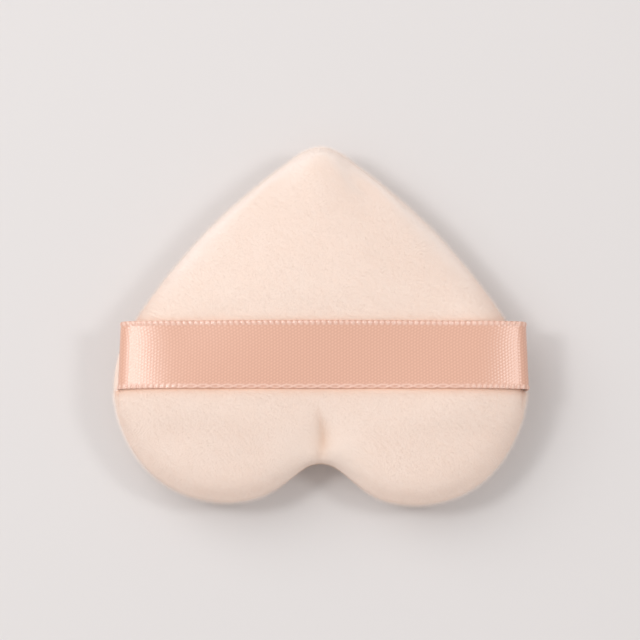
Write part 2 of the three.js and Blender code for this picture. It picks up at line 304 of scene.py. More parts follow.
def velour(name, patch, deep, pale, sheen):
    material, tree = new_material(name)
    drift = object_noise(tree, patch, DRIFT_DETAIL)
    colour = mix_colours(tree, drift, deep, pale)
    # Each tint is painted light or shade, mixed in where its attribute says.
    for place, tint in (("painted_ribbon_glow", RIBBON_GLOW_TINT), ("shade", SHADED_PILE), ("rim", RIM_LIGHT_TINT)):
        colour = mix_colours(tree, attribute(tree, place), colour, tint)
    inputs = {
        "Base Color": colour,
        "Roughness": 0.95,
        "Specular IOR Level": 0.2,
        "Sheen Weight": sheen,
        "Sheen Roughness": 0.45,
        "Sheen Tint": SHEEN_TINT,
    }
    finish_material(tree, inputs)
    return material


velour_knit = velour("velour_knit", KNIT_PATCH, KNIT_DEEP, KNIT_PALE, KNIT_SHEEN)
velour_pile = velour("velour_pile", PILE_PATCH, PILE_DEEP, PILE_PALE, PILE_SHEEN)

# %% [markdown]
# ## The heart's outline
#
# The outline is arcs that run into each other: a small one in the cleft, a lobe, a nearly
# straight side and the tip, then the same mirrored. Moving it in by a distance only changes
# the radii, so one function gives the outline of every layer. A box can't tell the radii, so
# they are written here.

# %% The heart's outline
LOBE_RADIUS = 17 * MM
SIDE_RADIUS = 80 * MM
TIP_RADIUS = 6 * MM
CLEFT_RADIUS = 4.5 * MM
CLEFT_STEPS = 6
LOBE_STEPS = 40
SIDE_STEPS = 20
TIP_STEPS = 8
LOBE = np.array([PUFF_WIDTH / 2 - LOBE_RADIUS, LOBE_RADIUS - PUFF_LENGTH / 2])
TIP = np.array([0, PUFF_LENGTH / 2 - TIP_RADIUS])
CLEFT = np.array([0, LOBE[1] - math.sqrt((LOBE_RADIUS + CLEFT_RADIUS) ** 2 - LOBE[0] ** 2)])
CLEFT_Y = CLEFT[1] + CLEFT_RADIUS


def side_centre():
    """The centre of the side's arc, which touches the lobe's and the tip's from outside."""
    to_lobe = SIDE_RADIUS - LOBE_RADIUS
    to_tip = SIDE_RADIUS - TIP_RADIUS
    span = np.linalg.norm(TIP - LOBE)
    apart = (TIP - LOBE) / span
    along = (to_lobe**2 - to_tip**2 + span**2) / (2 * span)
    across = math.sqrt(to_lobe**2 - along**2)
    return LOBE + along * apart + across * np.array([-apart[1], -abs(apart[0])])


def angle_from(centre, point):
    return math.atan2(point[1] - centre[1], point[0] - centre[0])


def heart_outline(inset):
    side = side_centre()
    lobe_start = angle_from(LOBE, CLEFT)
    lobe_end = angle_from(side, LOBE)
    tip_start = angle_from(side, TIP)
    arcs = [
        (CLEFT, CLEFT_RADIUS + inset, math.pi / 2, lobe_start + math.pi, CLEFT_STEPS),
        (LOBE, LOBE_RADIUS - inset, lobe_start, lobe_end, LOBE_STEPS),
        (side, SIDE_RADIUS - inset, lobe_end, tip_start, SIDE_STEPS),
        (TIP, TIP_RADIUS - inset, tip_start, math.pi / 2, TIP_STEPS),
    ]
    right = []
    for centre, radius, start, end, steps in arcs:
        turns = np.linspace(start, end, steps, endpoint=False)
        right.append(centre + radius * np.column_stack([np.cos(turns), np.sin(turns)]))
    right = np.vstack([*right, [[0, PUFF_LENGTH / 2 - inset]]])
    left = right[1:-1][::-1] * [-1, 1]
    return np.vstack([right, left])


print("heart of", np.round(np.ptp(heart_outline(0), axis=0) / MM, 1), "mm")

# %% [markdown]
# ## Helpers for modelling
#
# Operators act on what is selected, and loading the frame leaves its nodes selected. So
# each step starts with one object selected alone. Points are moved in bulk as arrays.


# %% Helpers for modelling
def select_only(piece):
    bpy.ops.object.select_all(action="DESELECT")
    piece.select_set(True)
    bpy.context.view_layer.objects.active = piece


def apply_modifier(piece, modifier):
    select_only(piece)
    bpy.ops.object.modifier_apply(modifier=modifier.name)


def points_of(piece):
    points = np.empty(3 * len(piece.data.vertices), np.float32)
    piece.data.vertices.foreach_get("co", points)
    return points.reshape(-1, 3).astype(float)


def normals_of(piece):
    return np.array([vertex.normal for vertex in piece.data.vertices])


def move_points(piece, points):
    piece.data.vertices.foreach_set("co", points.astype(np.float32).ravel())
    piece.data.update()


def smooth_step(values, start, end):
    """0 before the start, 1 past the end, and an even slope between."""
    share = np.clip((values - start) / (end - start), 0, 1)
    return share * share * (3 - 2 * share)


# %% [markdown]
# ## A flat pad
#
# A sewn pad gets its form from the filling that pushes its cover out against the seam. It
# starts as a flat heart with a round edge, which a filled curve with a bevel gives, and is
# remeshed into even faces, so that it bends alike everywhere. A cloth simulation suits
# cushions rather than puffs, so the pad is made at ten times its size.

# %% A flat pad
SIM_SCALE = 10
PAD_INSET = 0.3 * MM  # room for the pile round the edge
PAD_ROUND = 4.5 * MM
PAD_HALF = 5.3 * MM
PAD_VOXEL = 0.9 * MM


def flat_pad():
    curve = bpy.data.curves.new("puff_pad", "CURVE")
    curve.dimensions = "2D"
    curve.fill_mode = "BOTH"
    curve.bevel_depth = PAD_ROUND * SIM_SCALE
    curve.bevel_resolution = 6
    curve.extrude = (PAD_HALF - PAD_ROUND) * SIM_SCALE
    outline = heart_outline(PAD_ROUND + PAD_INSET) * SIM_SCALE
    spline = curve.splines.new("POLY")
    spline.points.add(len(outline) - 1)
    for point, (x, y) in zip(spline.points, outline):
        point.co = (x, y, 0, 1)
    spline.use_cyclic_u = True
    pad = bpy.data.objects.new("puff_pad", curve)
    bpy.context.collection.objects.link(pad)
    select_only(pad)
    bpy.ops.object.convert(target="MESH")
    pad = bpy.context.object
    remesh = pad.modifiers.new("Even faces", "REMESH")
    remesh.mode = "VOXEL"
    remesh.voxel_size = PAD_VOXEL * SIM_SCALE
    apply_modifier(pad, remesh)
    return pad


pad = flat_pad()
print("flat pad of", len(pad.data.vertices), "points")

# %% [markdown]
# ## Inflating the pad
#
# A pad like this could be sculpted by hand. Cloth finds the form by itself: the seam is
# pinned, and a little pressure swells the rest, which gives the crown and the valley above
# the cleft for free.

# %% Inflating the pad
SEAM_BAND = 0.6 * MM
PRESSURE = 1.0
LAST_FRAME = 20


def inflate(pad):
    seam = pad.vertex_groups.new(name="seam")
    near = np.flatnonzero(np.abs(points_of(pad)[:, 2]) < SEAM_BAND * SIM_SCALE)
    seam.add(near.tolist(), 1.0, "REPLACE")
    cloth = pad.modifiers.new("Filling", "CLOTH")
    cloth.settings.use_pressure = True
    cloth.settings.uniform_pressure_force = PRESSURE
    cloth.settings.effector_weights.gravity = 0
    cloth.settings.vertex_group_mass = seam.name
    cloth.point_cache.frame_start = 1
    cloth.point_cache.frame_end = LAST_FRAME
    for number in range(1, LAST_FRAME + 1):
        bpy.context.scene.frame_set(number)
    apply_modifier(pad, cloth)
    bpy.context.scene.frame_set(1)


inflate(pad)
print("pad swelled to", np.round(np.ptp(points_of(pad), axis=0) / SIM_SCALE / MM, 1), "mm")

# %% [markdown]
# ## Smoothing the pad
#
# Cloth leaves small wrinkles that foam wouldn't. Smooth eases them out while the seam holds
# still, and one level of Subdivision Surface gives points enough for what follows. Then the
# pad goes back to its real size.

# %% Smoothing the pad
EASE_STEPS = 14

ease = pad.modifiers.new("Ease wrinkles", "SMOOTH")
ease.factor = 0.5
ease.iterations = EASE_STEPS
ease.vertex_group = "seam"
ease.invert_vertex_group = True
apply_modifier(pad, ease)
subdivision = pad.modifiers.new("Finer", "SUBSURF")
subdivision.levels = 1
subdivision.render_levels = 1
apply_modifier(pad, subdivision)
swollen = points_of(pad) / SIM_SCALE
move_points(pad, swollen)
print("pad of", len(swollen), "points")

# %% [markdown]
# ## Front and back
#
# The simulation gives both sides alike. On the real puff the front has its own height and
# is fuller at the tip and above the cleft. The back follows its own swell until it meets the
# table, where it turns flat on a rounded edge. From here on, each form is a smooth push of
# the points, with heights counted from the seam. A pair of places says where such a push
# starts and where it is whole.

# %% Front and back
PILE_HEIGHT = 0.6 * MM  # how far the pile stands above the knitted backing
PRESSED_PILE = 0.15 * MM  # how far it still stands where the puff lies on it
FRONT_RISE = FRONT_Z - SEAM_Z - PILE_HEIGHT
BACK_DROP = SEAM_Z - PRESSED_PILE
BACK_ROUNDING = 1.2 * MM
PLUMPNESS = 1.0  # below 1 the front is fuller towards its edge
TIP_PLUMPNESS = 0.55
TIP_FILLS = (10 * MM, 22 * MM)
CLEFT_PLUMPNESS = 0.4
CLEFT_REACH = 5 * MM
CLEFT_STARTS = (14 * MM, 20 * MM)


def cleft_mask(points, start, end):
    """1 in the cleft, falling to 0 away from it to the sides and up the puff."""
    beside = np.exp(-((points[:, 0] / CLEFT_REACH) ** 2))
    return beside * smooth_step(-points[:, 1], start, end)


def front_and_back(points, in_cleft):
    height = points[:, 2]
    plumpness = PLUMPNESS + (CLEFT_PLUMPNESS - PLUMPNESS) * in_cleft
    plumpness += (TIP_PLUMPNESS - PLUMPNESS) * smooth_step(points[:, 1], *TIP_FILLS)
    rise = FRONT_RISE * np.clip(height / height.max(), 0, 1) ** plumpness
    drop = height * (BACK_DROP + BACK_ROUNDING) / -height.min()
    flat = -BACK_DROP
    spare = np.clip((drop - flat) / BACK_ROUNDING, -1, 1)
    rounded = flat + BACK_ROUNDING * (spare + 1) ** 2 / 4
    drop = np.where(drop > flat + BACK_ROUNDING, drop, rounded)
    return np.where(height > 0, rise, drop)


in_cleft = cleft_mask(swollen, *CLEFT_STARTS)
shaped = swollen.copy()
shaped[:, 2] = front_and_back(swollen, in_cleft)
print("front rises", round(FRONT_RISE / MM, 2), "mm, back drops", round(BACK_DROP / MM, 2), "mm")

# %% [markdown]
# ## The ribbon's pull
#
# The ribbon presses into the front and draws the edge in at both ends, down to the seam. The
# back is free to swell out again a little below it.

# %% The ribbon's pull
TOP_STARTS = (1 * MM, 3 * MM)  # above the seam, from where a push moves the front
RIBBON_PRESS = 0.2 * MM
PRESS_EDGE = (-0.7 * MM, 0.8 * MM)  # where a mask starts to fall beside the ribbon, how softly
RIBBON_END_X = 29.65 * MM  # the fold at the ribbon's ends
CINCH_X = RIBBON_END_X - 0.45 * MM  # the velour is drawn in to just behind the fold
CINCH_EDGE = (-0.5 * MM, 0.7 * MM)
CINCH_HOLDS = (-1.0 * MM, 0.2 * MM)  # from below the seam to above it
CINCH_BULGE = 0.3 * MM
BULGE_EDGE = (-0.2 * MM, 3 * MM)


def ribbon_mask(points, margin, soft):
    """1 under the ribbon's width, falling to 0 outside it."""
    away = np.abs(points[:, 1] - RIBBON_Y) - RIBBON_HALF
    return 1 - smooth_step(away, margin, margin + soft)


top = smooth_step(shaped[:, 2], *TOP_STARTS)
shaped[:, 2] -= RIBBON_PRESS * ribbon_mask(shaped, *PRESS_EDGE) * top
beyond = np.maximum(np.abs(shaped[:, 0]) - CINCH_X, 0)
held = smooth_step(shaped[:, 2], *CINCH_HOLDS)
drawn = beyond * held * ribbon_mask(shaped, *CINCH_EDGE)
bulged = CINCH_BULGE * (beyond > 0) * (1 - held) * ribbon_mask(shaped, *BULGE_EDGE)
shaped[:, 0] += np.sign(shaped[:, 0]) * (bulged - drawn)
print("edge drawn in by up to", round(drawn.max() / MM, 2), "mm")

# %% [markdown]
# ## The crease above the cleft
#
# A crease runs up from the cleft, bends to the right and back, and fades out below the
# ribbon. It is a narrow valley with a round bottom, and to its left lies a shallow dent.
# The front also falls away towards the low edge of the lobes.

# %% The crease above the cleft
CREASE_DEPTH = 0.7 * MM
CREASE_WIDTH = 1.1 * MM
CREASE_NARROWEST = 0.4  # of the width, where it fades out
CREASE_AT_CLEFT = 0.6  # of the depth
CREASE_SOFTNESS = 0.2 * MM  # the radius at its bottom
CREASE_TOP = -11 * MM
CREASE_DEEPEST = -17.5 * MM
CREASE_BOW = 1.7 * MM
CREASE_SWING = 2.6  # radians of the sine that bends it
CREASE_START = -0.8  # of the bow, to the left of the middle
LOBE_DROP = 0.6 * MM
LOBE_FALLS = (14 * MM, 25 * MM)
DENT_X = -1.6 * MM
DENT_Y = -19.6 * MM
DENT_REACH = 3 * MM
DENT_DEPTH = 0.9 * MM


def crease_x(y):
    """Where the crease runs at a given place along the puff."""
    down = (CREASE_TOP - y) / (CREASE_TOP - CLEFT_Y)
    return CREASE_BOW * (np.sin(CREASE_SWING * down) + CREASE_START)


along = 1 - smooth_step(shaped[:, 1], CREASE_DEEPEST, CREASE_TOP)
off_crease = np.hypot(shaped[:, 0] - crease_x(shaped[:, 1]), CREASE_SOFTNESS) - CREASE_SOFTNESS
crease_width = CREASE_WIDTH * (CREASE_NARROWEST + (1 - CREASE_NARROWEST) * along)
across = np.exp(-off_crease / crease_width)
from_cleft = smooth_step(shaped[:, 1], CLEFT_Y, CREASE_DEEPEST)
along *= CREASE_AT_CLEFT + (1 - CREASE_AT_CLEFT) * from_cleft
shaped[:, 2] -= CREASE_DEPTH * across * along * top
shaped[:, 2] -= LOBE_DROP * smooth_step(-shaped[:, 1], *LOBE_FALLS) * top
off_dent = np.hypot(shaped[:, 0] - DENT_X, shaped[:, 1] - DENT_Y)
shaped[:, 2] -= DENT_DEPTH * np.exp(-((off_dent / DENT_REACH) ** 2)) * top
print("crease up to", round((CREASE_DEPTH * across * along * top).max() / MM, 2), "mm deep")

# %% [markdown]
# ## Seam, tip and lobes
#
# The seam pulls a shallow furrow round the edge. The filling is packed hardest into the tip
# and the lobes, the right one most, and the seam draws the cleft up.

# %% Seam, tip and lobes
FURROW_DEPTH = 0.3 * MM
FURROW_HEIGHT = 1.3 * MM
TIP_PUSH = 0.1 * MM
TIP_PUSHED = (18 * MM, 25 * MM)
TIP_NARROWING = 0.06
TIP_NARROWS = (13 * MM, 25 * MM)
LEFT_LOBE_PUSH = 0.4 * MM
RIGHT_LOBE_PUSH = 0.8 * MM
LOBE_BESIDE = (3 * MM, 10 * MM)
LOBE_PUSHED = (15 * MM, 25 * MM)
CLEFT_PUSH = 0.45 * MM

normals = normals_of(pad)
near_seam = 1 - smooth_step(np.abs(shaped[:, 2]), 0, FURROW_HEIGHT)
shaped[:, :2] -= FURROW_DEPTH * near_seam[:, None] * normals[:, :2]
lobe_push = np.where(shaped[:, 0] < 0, LEFT_LOBE_PUSH, RIGHT_LOBE_PUSH)
lobe_push *= smooth_step(np.abs(shaped[:, 0]), *LOBE_BESIDE)
shaped[:, 0] *= 1 - TIP_NARROWING * smooth_step(swollen[:, 1], *TIP_NARROWS)
shaped[:, 1] += TIP_PUSH * smooth_step(swollen[:, 1], *TIP_PUSHED)
shaped[:, 1] -= lobe_push * smooth_step(-swollen[:, 1], *LOBE_PUSHED)
shaped[:, 1] += CLEFT_PUSH * in_cleft
shaped[:, 2] += SEAM_Z
move_points(pad, shaped)
print("shaped pad in mm:", np.round(shaped.min(0) / MM, 1), np.round(shaped.max(0) / MM, 1))

# %% [markdown]
# ## The ribbon's run
#
# The ribbon is stretched over the front. It is nearly flat over the crown and then slopes
# steadily to its ends, where it shines. It is stiff across its width, so across the puff it
# may tilt but not sag: the tilt is that of a straight line laid over the velour below.

# %% The ribbon's run
SHOULDER_X = 28.4 * MM
TILT_END = 26 * MM  # from here out the ribbon lies level across
TILT_FADE = 8 * MM
TILT_SMOOTHING = 3
CROWN_SLOPE = math.radians(1.5)
CROWN_END = 21 * MM
END_SLOPE = math.radians(17)
PROBES_ALONG = 57
PROBES_ACROSS = 9


def height_at(x, y):
    found, place = pad.ray_cast((x, y, 2 * FRONT_Z), (0, 0, -1))[:2]
    return place.z if found else SEAM_Z


def smoothed(values, reach):
    padded = np.pad(values, reach, mode="edge")
    return np.convolve(padded, np.full(2 * reach + 1, 1 / (2 * reach + 1)), "valid")


probe_x = np.linspace(-SHOULDER_X, SHOULDER_X, PROBES_ALONG)
probe_v = np.linspace(-RIBBON_HALF, RIBBON_HALF, PROBES_ACROSS)
bpy.context.view_layer.update()
levels = []
tilts = []
for x in probe_x:
    heights = np.array([height_at(x, RIBBON_Y + v) for v in probe_v])
    tilt, level = np.polyfit(probe_v, heights, 1)
    levels.append(level)
    tilts.append(tilt * (1 - smooth_step(abs(x), TILT_END - TILT_FADE, TILT_END)))
tilts = smoothed(np.array(tilts), TILT_SMOOTHING)
out = np.abs(probe_x)
right = out[PROBES_ALONG // 2:]
slope = np.interp(right, [0, CROWN_END, SHOULDER_X], [0, CROWN_SLOPE, END_SLOPE])
fall = np.concatenate([[0], np.cumsum(np.tan(slope[:-1]) * np.diff(right))])
fall = np.concatenate([fall[:0:-1], fall])
crown_level = np.mean((np.array(levels) + fall)[out < CROWN_END])
levels = crown_level - fall
print("velour below the ribbon's crown at", round(crown_level / MM, 2), "mm")

# %% [markdown]
# ## The ribbon's folds
#
# At each end the ribbon folds straight down over the edge and is caught in the seam, where
# its tail runs a little way inwards. The fold is a path of a few places, which a later step
# rounds off.

# %% The ribbon's folds
FOLD_TURNS = ((0.5 * MM, 0.4 * MM), (0.05 * MM, 1.1 * MM), (0, 1.9 * MM))  # in from the end, down
FOLD_LOW = 0.9 * MM  # the last turn before the seam, above it
ENTRY_INSET = 0.1 * MM  # where the ribbon enters the seam, in from the edge
ENTRY_HEIGHT = 0.15 * MM
ENTRY_LENGTH = 1.2 * MM
TAIL_LENGTH = 2.6 * MM
TAIL_HEIGHT = 0.1 * MM
BELOW_LOBE = 5 * MM  # how far below its middle a lobe counts as the puff's side


def heart_edge(y):
    """How far the backing reaches to the side at a height of the outline."""
    outline = heart_outline(PILE_HEIGHT)
    right = outline[(outline[:, 0] > LOBE[0]) & (outline[:, 1] > LOBE[1] - BELOW_LOBE)]
    right = right[np.argsort(right[:, 1])]
    return np.interp(y, right[:, 1], right[:, 0])


def fold(side, reach, shoulder, seam_x):
    """One end's way down over the edge and into the seam, as places across and up."""
    turns = [(reach - inward, shoulder - down) for inward, down in FOLD_TURNS]
    entry = [
        (0.5 * reach + 0.5 * seam_x, SEAM_Z + FOLD_LOW),
        (seam_x, SEAM_Z + ENTRY_HEIGHT),
        (seam_x - ENTRY_LENGTH, SEAM_Z + TAIL_HEIGHT),
        (seam_x - TAIL_LENGTH, SEAM_Z + TAIL_HEIGHT),
    ]
    return np.array(turns + entry) * [side, 1]


print("edge at the ribbon", round(heart_edge(RIBBON_Y) / MM, 2), "mm from the middle")

# %% [markdown]
# ## The ribbon's threads
#
# Row after row, the path of one thread goes from tail to tail. Its corners are cut until it
# is a smooth curve, and it is then divided evenly, so that the rows make a grid. The lower
# corner of each fold stands out a little further than the upper one.

# %% The ribbon's threads
RIBBON_COLUMNS = 540
RIBBON_ROWS = 80
RIBBON_REST = 0.18 * MM  # the pressed pile below it
END_SLANT = 0.2 * MM
RIGHT_SHIFT = 0.85 * MM  # the right end reaches a little further
CORNER_CUT = 0.25
CORNER_CUTS = 3


def rounded_off(path, times):
    """Cuts the corners of a path, time after time, until it is a smooth curve."""
    for _ in range(times):
        near = (1 - CORNER_CUT) * path[:-1] + CORNER_CUT * path[1:]
        far = CORNER_CUT * path[:-1] + (1 - CORNER_CUT) * path[1:]
        cut = np.stack([near, far], axis=1).reshape(-1, path.shape[1])
        path = np.vstack([path[:1], cut, path[-1:]])
    return path


def ribbon_row(v):
    """The run of one thread at a distance v from the ribbon's middle, and its length."""
    reach = RIBBON_END_X - END_SLANT * v / RIBBON_HALF
    crown_z = levels + tilts * v + RIBBON_REST
    crown = np.column_stack([probe_x * reach / RIBBON_END_X, crown_z])
    seam_x = min(heart_edge(RIBBON_Y + v), CINCH_X) - ENTRY_INSET
    left_fold = fold(-1, reach, crown_z[0], seam_x)[::-1]
    right_fold = fold(1, reach, crown_z[-1], seam_x)
    path = np.vstack([left_fold, crown, right_fold])
    path[:, 0] += RIGHT_SHIFT * smooth_step(path[:, 0], 0, SHOULDER_X)
    path = rounded_off(path, CORNER_CUTS)
    steps = np.linalg.norm(np.diff(path, axis=0), axis=1)
    run = np.concatenate([[0], np.cumsum(steps)])
    even = np.linspace(0, run[-1], RIBBON_COLUMNS + 1)
    x = np.interp(even, run, path[:, 0])
    z = np.interp(even, run, path[:, 1])
    return np.column_stack([x, np.full_like(x, RIBBON_Y + v), z]), run[-1]


rows = [ribbon_row(v) for v in np.linspace(-RIBBON_HALF, RIBBON_HALF, RIBBON_ROWS + 1)]
run_grid = np.stack([row for row, length in rows])
RIBBON_LENGTH = float(np.mean([length for row, length in rows]))
print("ribbon", round(RIBBON_LENGTH / MM, 1), "mm long")

# %% [markdown]
# ## Velour under the ribbon
#
# Below the ribbon the velour meets it: it is pressed down where it stood too high, and
# swells up where the ribbon would float. The swell fades out beside the ribbon and has a
# soft limit. Each point keeps its share of the height between the seam and the top above it.

# %% Velour under the ribbon
PRESSED_EDGE = (-0.3 * MM, 0.6 * MM)
SWELL_EDGE = (0, 7 * MM)
MOST_SWELL = 0.5  # the share by which the velour may rise to meet the ribbon
JUST_INSIDE = 0.998  # of a point's place to the side, so that the probe meets the front

fold_x = np.array([RIBBON_END_X - inward for inward, down in FOLD_TURNS])
fold_fall = np.array([down for inward, down in FOLD_TURNS])
cover_x = np.concatenate([-fold_x[::-1], probe_x, fold_x])
cover_z = np.concatenate([levels[0] - fold_fall[::-1], levels, levels[-1] - fold_fall])


def press_under_ribbon(points):
    """Brings the front to just below the ribbon, pressed down or swelling up to it."""
    pressed = points.copy()
    narrow = ribbon_mask(points, *PRESSED_EDGE)
    wide = ribbon_mask(points, *SWELL_EDGE)
    for at in np.flatnonzero((wide > 0) & (points[:, 2] > SEAM_Z)):
        x, y, z = points[at]
        top = height_at(JUST_INSIDE * x, y) - SEAM_Z
        tilt = np.interp(x, probe_x, tilts)
        level = np.interp(x, cover_x, cover_z) + tilt * (y - RIBBON_Y) - SEAM_Z
        swell = level / max(top, z - SEAM_Z) - 1
        if swell < 0:
            swell *= narrow[at]
        else:
            swell = MOST_SWELL * math.tanh(swell / MOST_SWELL) * wide[at]
        pressed[at, 2] = SEAM_Z + (z - SEAM_Z) * (1 + swell)
    return pressed


free_front = points_of(pad)
move_points(pad, press_under_ribbon(free_front))
moved = points_of(pad)[:, 2] - free_front[:, 2]
print("velour moved by", round(moved.min() / MM, 2), "to", round(moved.max() / MM, 2), "mm")

# %% [markdown]
# ## Painted glow by the ribbon
#
# Light that the ribbon throws back, and its warm shade, are painted into the pile beside it as
# a deeper, warmer tint. The mesh keeps a number at each point for that, which the material
# reads: high against the ribbon's edges, and 0 a little way off.

# %% Painted glow by the ribbon
GLOW_BELOW = 0.75
GLOW_ABOVE = 0.4
GLOW_REACH = 0.5 * MM
GLOW_RISE = 2 * MM  # above the seam


def ribbon_glow_at(points):
    away = np.abs(points[:, 1] - RIBBON_Y) - RIBBON_HALF
    lower = points[:, 1] < RIBBON_Y
    beside = np.where(lower, GLOW_BELOW, GLOW_ABOVE) * np.exp(-np.abs(away) / GLOW_REACH)
    return beside * smooth_step(points[:, 2], SEAM_Z, SEAM_Z + GLOW_RISE)


def keep_on(piece, name, values):
    """Keeps a number for each point, which a material or a scatter can read."""
    kept = piece.data.attributes.get(name)
    if kept is None:
        kept = piece.data.attributes.new(name, "FLOAT", "POINT")
    kept.data.foreach_set("value", values.astype(np.float32))
    print(piece.name, name, "up to", round(float(values.max()), 2))


keep_on(pad, "painted_ribbon_glow", ribbon_glow_at(points_of(pad)))

# %% [markdown]
# ## Shade in the crease
#
# In a narrow place the pile shades itself. Real pile is denser than the fibres made below,
# so its colour is set deeper there: in the bottom of the crease, and low on the wall in the
# cleft.

# %% Shade in the crease
CREASE_SHADE = 0.55
CREASE_SHADE_WIDTH = 0.7 * MM
CREASE_SHADE_NARROWEST = 0.4  # of the width
CREASE_SHADE_AT_CLEFT = 0.3
CREASE_SHADE_RISE = 4 * MM  # above the seam
CLEFT_SHADE = 0.6
CLEFT_SHADED = (17 * MM, 20 * MM)
CLEFT_SHADE_FADE = 0.9 * MM  # above and below the seam


def shade_at(points):
    along = 1 - smooth_step(points[:, 1], CREASE_DEEPEST, CREASE_TOP)
    off_crease = np.abs(points[:, 0] - crease_x(points[:, 1]))
    across = np.exp(-off_crease / (CREASE_SHADE_WIDTH * (CREASE_SHADE_NARROWEST + along)))
    from_cleft = smooth_step(points[:, 1], CLEFT_Y, CREASE_DEEPEST)
    along *= CREASE_SHADE_AT_CLEFT + (1 - CREASE_SHADE_AT_CLEFT) * from_cleft
    high = smooth_step(points[:, 2], SEAM_Z, SEAM_Z + CREASE_SHADE_RISE)
    low = smooth_step(SEAM_Z - points[:, 2], -CLEFT_SHADE_FADE, CLEFT_SHADE_FADE)
    in_crease = CREASE_SHADE * across * along * high
    in_cleft = CLEFT_SHADE * cleft_mask(points, *CLEFT_SHADED) * low
    return np.maximum(in_crease, in_cleft)


keep_on(pad, "shade", shade_at(points_of(pad)))

# %% [markdown]
# ## Painted light on the flanks
#
# On the two upper flanks, where the front turns down to the seam, light comes through the
# loose ends of the pile, and that light is painted in as a paler colour. The number kept for
# that grows as the surface turns away from straight up.

# %% Painted light on the flanks
FLANK_LIGHT = 0.35
FLANK_STARTS = (0, 12 * MM)
FLANK_TURNS = (0.75, 1)  # how far up the surface faces


def rim_light_at(points, normals):
    flank = smooth_step(points[:, 1], *FLANK_STARTS)
    turned = 1 - smooth_step(normals[:, 2], *FLANK_TURNS)
    return FLANK_LIGHT * flank * turned * (points[:, 2] > SEAM_Z)


keep_on(pad, "rim", rim_light_at(points_of(pad), normals_of(pad)))

# %% [markdown]
# ## Two skins
#
# The puff has two panels, so two copies of the pad are cut at the seam, and each keeps one
# side. Bisect cuts straight through the faces, so both edges lie level. Later the pile grows
# on these bare skins.

# %% Two skins
SEAM_HALF_GAP = 0.02 * MM


def copy_of(piece, name):
    select_only(piece)
    bpy.ops.object.duplicate()
    made = bpy.context.object
    made.name = name
    made.data.name = name
    return made


def cut_skin(name, up):
    skin = copy_of(pad, name)
    bpy.ops.object.mode_set(mode="EDIT")
    bpy.ops.mesh.select_all(action="SELECT")
    plane = SEAM_Z + up * SEAM_HALF_GAP
    bpy.ops.mesh.bisect(
        plane_co=(0, 0, plane),
        plane_no=(0, 0, 1),
        clear_inner=up > 0,
        clear_outer=up < 0,
    )
    bpy.ops.object.mode_set(mode="OBJECT")
    skin.vertex_groups.clear()
    print(name, len(skin.data.polygons), "faces")
    return skin


front_skin = cut_skin("front_skin", 1)
back_skin = cut_skin("back_skin", -1)

# %% [markdown]
# ## Two velour panels
#
# Each skin's edge is extruded inwards as its seam allowance, and Solidify gives it the
# knit's thickness. The seam is shut, but for room round the ribbon's tails.

# %% Two velour panels
KNIT_THICKNESS = 0.45 * MM
ALLOWANCE_WIDTH = 2.4 * MM
TAIL_HALF_ROOM = 0.1 * MM
TAIL_EDGE = (0, 0.6 * MM)
ROOM_FADES = (0.1 * MM, 1 * MM)  # away from the seam


def shade_smooth(piece):
    select_only(piece)
    bpy.ops.object.shade_smooth()


def extrude_edge(panel):
    bpy.ops.object.mode_set(mode="EDIT")
    bpy.ops.mesh.select_mode(type="EDGE")
    bpy.ops.mesh.select_all(action="DESELECT")
    bpy.ops.mesh.select_non_manifold(use_wire=False, use_multi_face=False, use_non_contiguous=False)
    bpy.ops.mesh.extrude_region_move()
    bpy.ops.object.mode_set(mode="OBJECT")
    return np.array([vertex.select for vertex in panel.data.vertices])


def sew_panel(skin, name, up):
    panel = copy_of(skin, name)
    allowance = extrude_edge(panel)
    points = points_of(panel)
    skin_points = points_of(skin)
    nearest = [np.argmin(np.sum((skin_points - point) ** 2, axis=1)) for point in points[allowance]]
    direction = normals_of(skin)[nearest][:, :2]
    direction /= np.linalg.norm(direction, axis=1, keepdims=True)
    points[allowance, :2] -= ALLOWANCE_WIDTH * direction
    near_seam = 1 - smooth_step(np.abs(points[:, 2] - SEAM_Z), *ROOM_FADES)
    at_tail = near_seam * ribbon_mask(points, *TAIL_EDGE)
    points[:, 2] += up * (TAIL_HALF_ROOM - SEAM_HALF_GAP) * at_tail
    move_points(panel, points)
    knit = panel.modifiers.new("Knit", "SOLIDIFY")
    knit.thickness = KNIT_THICKNESS
    knit.offset = -1
    apply_modifier(panel, knit)
    shade_smooth(panel)
    panel.data.materials.append(velour_knit)
    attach(panel, "puff")
    print(name, len(panel.data.polygons), "faces")
    return panel


front_velour = sew_panel(front_skin, "front_velour", 1)
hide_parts("front_panel")
back_velour = sew_panel(back_skin, "back_velour", -1)
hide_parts("back_panel")

# %% [markdown]
# ## Sponge
#
# Inside lies a pad of fine foam in the same form, a little smaller all round and held
# clear of the seam allowance. It hardly ever shows, so its pores are only a fine bump, and its
# colour is deeper where the bump is low, as painted shade in the pores.

# %% Sponge
FOAM_INSET = KNIT_THICKNESS + 0.7 * MM  # clear of the panels
FOAM_SEAM_INSET = ALLOWANCE_WIDTH + 0.5 * MM  # clear of the allowances
FOAM_SEAM_FADES = (0.6 * MM, 3 * MM)  # away from the seam
FOAM_DEEP = linear(240, 222, 200)
FOAM_PALE = linear(252, 242, 228)
PORE_SIZE = 0.35 * MM
PORE_DETAIL = 2

# The foam's colour is deeper where the pores' bump is low: painted shade in the pores.
foam, tree = new_material("fine_foam")
pores = object_noise(tree, PORE_SIZE, PORE_DETAIL)
pore_inputs = {"Height": pores, "Strength": 0.6, "Distance": PORE_SIZE}
foam_inputs = {
    "Base Color": mix_colours(tree, pores, FOAM_DEEP, FOAM_PALE),
    "Roughness": 0.95,
    "Normal": Wire.node(tree, "ShaderNodeBump", inputs=pore_inputs),
}
finish_material(tree, foam_inputs)

